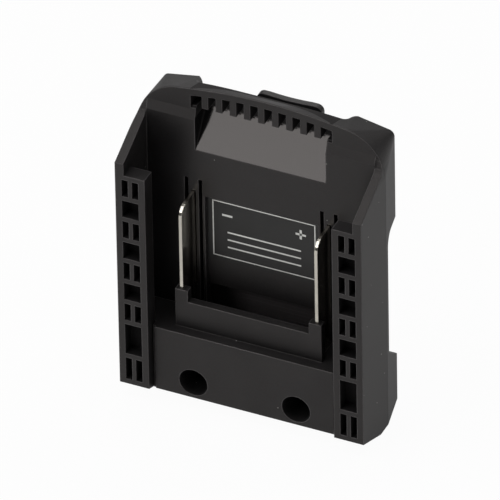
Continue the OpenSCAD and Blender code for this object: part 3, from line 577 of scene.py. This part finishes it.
class ADAPTER_OT_springs(bpy.types.Operator):
    """Wind the two latch springs"""

    bl_idname = "adapter.springs"
    bl_label = "Latch springs"

    def execute(self, context):
        sizes, colours = context.scene.adapter_sizes, context.scene.adapter_colours
        wire = zinc_steel("drawn_spring_wire", colours.steel, roughness=0.3)
        wire_d = sizes.spring_wire
        ring_points, turn_steps, smooth_angle = 12, 28, math.radians(40)
        # One more turn at each end
        turns = sizes.spring_turns + 2
        for side in ("left", "right"):
            low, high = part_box(side + "_spring")
            middle = (low + high) / 2
            coil_r = (high.x - low.x - wire_d) / 2
            start_piece()
            bpy.ops.mesh.primitive_circle_add(vertices=ring_points, radius=wire_d / 2,
                                              rotation=(math.pi / 2, 0, 0))
            bpy.ops.object.transform_apply(location=False, rotation=True, scale=False)
            bpy.ops.object.mode_set(mode="EDIT")
            bpy.ops.transform.translate(value=(coil_r, 0, wire_d / 2))
            bpy.ops.object.mode_set(mode="OBJECT")
            coil = bpy.context.object
            screw = coil.modifiers.new("winding", "SCREW")
            screw.axis = "Z"
            screw.screw_offset = (high.z - low.z - wire_d) / turns
            screw.iterations = turns
            screw.steps = turn_steps
            screw.render_steps = turn_steps
            bpy.ops.object.modifier_apply(modifier="winding")
            # The two open ends are closed
            bpy.ops.object.mode_set(mode="EDIT")
            bpy.ops.mesh.select_all(action="DESELECT")
            bpy.ops.mesh.select_mode(type="EDGE")
            bpy.ops.mesh.select_non_manifold(extend=False)
            bpy.ops.mesh.edge_face_add()
            bpy.ops.mesh.select_all(action="SELECT")
            bpy.ops.mesh.normals_make_consistent(inside=False)
            bpy.ops.object.mode_set(mode="OBJECT")
            bpy.ops.object.shade_smooth_by_angle(angle=smooth_angle)
            coil.location = (middle.x, middle.y, low.z)
            piece = finish_piece(side + "_coil", wire, "adapter", "spring_steel", side + "_spring")
            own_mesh(piece)
        return {"FINISHED"}


class ADAPTER_OT_screws(bpy.types.Operator):
    """Finish the housing and board screws in zinc plate"""

    bl_idname = "adapter.screws"
    bl_label = "Screws"

    def execute(self, context):
        dress(zinc_steel("zinc_plated_screw", context.scene.adapter_colours.steel),
              "front_screws", "rear_screws", "board_screws")
        return {"FINISHED"}


class ADAPTER_OT_board(bpy.types.Operator):
    """Finish the circuit board and the parts on it"""

    bl_idname = "adapter.board"
    bl_label = "Circuit board"

    def execute(self, context):
        sizes, colours = context.scene.adapter_sizes, context.scene.adapter_colours
        dress(solder_mask("grey_solder_mask", colours.board), "circuit_board")
        # Its edge colour is partly wear and partly a painted highlight
        dress(moulded_nylon("component_epoxy", "#202021", "#3a3a3b", sizes, roughness=0.45),
              "power_transistors", "control_chip", "shunt_resistor")
        dress(zinc_steel("drawn_aluminium_can", "#8c9097", roughness=0.32), "smoothing_capacitor")
        dress(capped_ceramic("capped_ceramic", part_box("fuse")), "fuse")
        return {"FINISHED"}


class ADAPTER_OT_leads(bpy.types.Operator):
    """Finish the four leads in soft insulation"""

    bl_idname = "adapter.leads"
    bl_label = "Leads"

    def execute(self, context):
        dress(soft_insulation("red_soft_insulation", context.scene.adapter_colours.red),
              "positive_input_lead", "positive_output_lead")
        dress(soft_insulation("black_soft_insulation", "#1c1c1d"),
              "negative_input_lead", "negative_output_lead")
        return {"FINISHED"}


class ADAPTER_OT_stage(bpy.types.Operator):
    """Set up the floor, the lights, the background and the camera"""

    bl_idname = "adapter.stage"
    bl_label = "Studio"

    # Middle of the view, in metres
    aim = Vector((0, -11 * MM, 49.6 * MM))

    def execute(self, context):
        self.lay_floor(context)
        self.fill_background(context.scene)
        self.hang_lamps(context.scene)
        self.place_camera(context.scene)
        context.scene.view_settings.view_transform = "Standard"
        return {"FINISHED"}

    def lay_floor(self, context):
        """Lays a matt floor that looks nearly white from the camera and dim in reflections."""
        floor_w, floor_drop = 6, 0.2 * MM
        camera_share, mirror_share = 0.96, 0.38
        start_piece()
        bpy.ops.mesh.primitive_plane_add(size=floor_w, location=(0, 0, -floor_drop))
        floor = context.object
        floor.name = "floor"
        finish = bpy.data.materials.new("pale_floor")
        finish.use_nodes = True
        tree = finish.node_tree
        tree.nodes.clear()
        ray = add_node(tree, "ShaderNodeLightPath").outputs
        mirrored = add_node(tree, "ShaderNodeMath", {0: ray["Is Glossy Ray"], 1: ray["Is Transmission Ray"]},
                            operation="MAXIMUM").outputs["Value"]
        dimmed = add_node(tree, "ShaderNodeMath", {0: mirrored, 1: mirror_share},
                          operation="MULTIPLY").outputs["Value"]
        bright = add_node(tree, "ShaderNodeMath", {0: ray["Is Camera Ray"], 1: camera_share},
                          operation="MULTIPLY").outputs["Value"]
        share = add_node(tree, "ShaderNodeMath", {0: bright, 1: dimmed}, operation="MAXIMUM").outputs["Value"]
        pale = linear(context.scene.adapter_colours.backdrop)
        matt = add_node(tree, "ShaderNodeBsdfDiffuse", {"Color": pale}).outputs["BSDF"]
        glow = add_node(tree, "ShaderNodeEmission", {"Color": (1, 1, 1, 1), "Strength": 1.0})
        mix = add_node(tree, "ShaderNodeMixShader",
                       {0: share, 1: matt, 2: glow.outputs["Emission"]}).outputs["Shader"]
        add_node(tree, "ShaderNodeOutputMaterial", {"Surface": mix})
        floor.data.materials.append(finish)

    def fill_background(self, scene):
        """Makes the background white to the camera and only faintly lit for the rest."""
        dim_sky, white_sky = 0.06, 1.0
        world = bpy.data.worlds.new("studio")
        scene.world = world
        world.use_nodes = True
        tree = world.node_tree
        tree.nodes.clear()
        ray = add_node(tree, "ShaderNodeLightPath").outputs
        seen = add_node(tree, "ShaderNodeMath", {0: ray["Is Camera Ray"], 1: ray["Is Transmission Ray"]},
                        operation="MAXIMUM").outputs["Value"]
        level = add_node(tree, "ShaderNodeMapRange",
                         {"Value": seen, "To Min": dim_sky, "To Max": white_sky}).outputs["Result"]
        sky = add_node(tree, "ShaderNodeBackground", {"Color": (1, 1, 1, 1), "Strength": level})
        add_node(tree, "ShaderNodeOutputWorld", {"Surface": sky.outputs["Background"]})

    def hang_lamps(self, scene):
        """Hangs square softboxes round the part, all turned to it."""
        # Place and width in metres, and power in watts
        lamps = (
            ("overhead_softbox", (0, -0.03, 1.35), 0.8, 4.4),
            ("rear_left_softbox", (-0.44, 0.94, 0.81), 0.7, 2.9),
            ("rear_right_softbox", (0.5, 0.85, 0.885), 0.7, 1.8),
            ("right_softbox", (1.24, -0.23, 0.386), 0.7, 1.0),
            ("left_softbox", (-1.12, -0.11, 0.7), 0.7, 2.6),
            ("front_left_softbox", (-0.455, -0.988, 0.777), 0.42, 1.62),
            ("front_high_softbox", (-0.386, -0.46, 1.09), 0.5, 1.9),
        )
        for name, place, width, power in lamps:
            lamp = bpy.data.lights.new(name, "AREA")
            lamp.size = width
            lamp.energy = power
            holder = bpy.data.objects.new(name, lamp)
            holder.location = place
            holder.rotation_euler = (self.aim - Vector(place)).to_track_quat("-Z", "Y").to_euler()
            scene.collection.objects.link(holder)

    def place_camera(self, scene):
        """Places a long lens far away, on the part's right, raised and slightly rolled."""
        turn, lift, roll = math.radians(25), math.radians(36.5), math.radians(1.041)
        sensor_mm, lens_mm, distance = 36, 1019.14, 4
        shift_left, shift_up = 1.034 * MM, 4.697 * MM
        right = Vector((math.cos(turn), math.sin(turn), 0))
        ahead = Vector((-math.sin(turn) * math.cos(lift), math.cos(turn) * math.cos(lift), -math.sin(lift)))
        up = right.cross(ahead)
        across = right * math.cos(roll) - up * math.sin(roll)
        upright = up * math.cos(roll) + right * math.sin(roll)
        lens = bpy.data.cameras.new("camera")
        lens.sensor_width = sensor_mm
        lens.lens = lens_mm
        camera = bpy.data.objects.new("camera", lens)
        spot = self.aim - ahead * distance - across * shift_left + upright * shift_up
        camera.matrix_world = Matrix((
            (across.x, upright.x, -ahead.x, spot.x),
            (across.y, upright.y, -ahead.y, spot.y),
            (across.z, upright.z, -ahead.z, spot.z),
            (0, 0, 0, 1),
        ))
        scene.collection.objects.link(camera)
        scene.camera = camera


class ADAPTER_PT_panel(bpy.types.Panel):
    """Lists the sizes, the colours and the steps of the adapter"""

    bl_label = "Battery adapter"
    bl_idname = "ADAPTER_PT_panel"
    bl_space_type = "VIEW_3D"
    bl_region_type = "UI"
    bl_category = "Adapter"

    def draw(self, context):
        for group in (context.scene.adapter_sizes, context.scene.adapter_colours):
            for key in group.__annotations__:
                self.layout.prop(group, key)
        for step in STEPS:
            self.layout.operator(step.bl_idname)


STEPS = (
    ADAPTER_OT_housings,
    ADAPTER_OT_carrier,
    ADAPTER_OT_terminals,
    ADAPTER_OT_label,
    ADAPTER_OT_latch,
    ADAPTER_OT_springs,
    ADAPTER_OT_screws,
    ADAPTER_OT_board,
    ADAPTER_OT_leads,
    ADAPTER_OT_stage,
)
CLASSES = (AdapterSizes, AdapterColours, *STEPS, ADAPTER_PT_panel)


def register():
    for kind in CLASSES:
        bpy.utils.register_class(kind)
    bpy.types.Scene.adapter_sizes = bpy.props.PointerProperty(type=AdapterSizes)
    bpy.types.Scene.adapter_colours = bpy.props.PointerProperty(type=AdapterColours)


def unregister():
    del bpy.types.Scene.adapter_colours
    del bpy.types.Scene.adapter_sizes
    for kind in reversed(CLASSES):
        bpy.utils.unregister_class(kind)


def main():
    register()
    bpy.ops.adapter.housings()
    bpy.ops.adapter.carrier()
    bpy.ops.adapter.terminals()
    bpy.ops.adapter.label()
    bpy.ops.adapter.latch()
    bpy.ops.adapter.springs()
    bpy.ops.adapter.screws()
    bpy.ops.adapter.board()
    bpy.ops.adapter.leads()
    bpy.ops.adapter.stage()


if __name__ == "__main__":
    main()
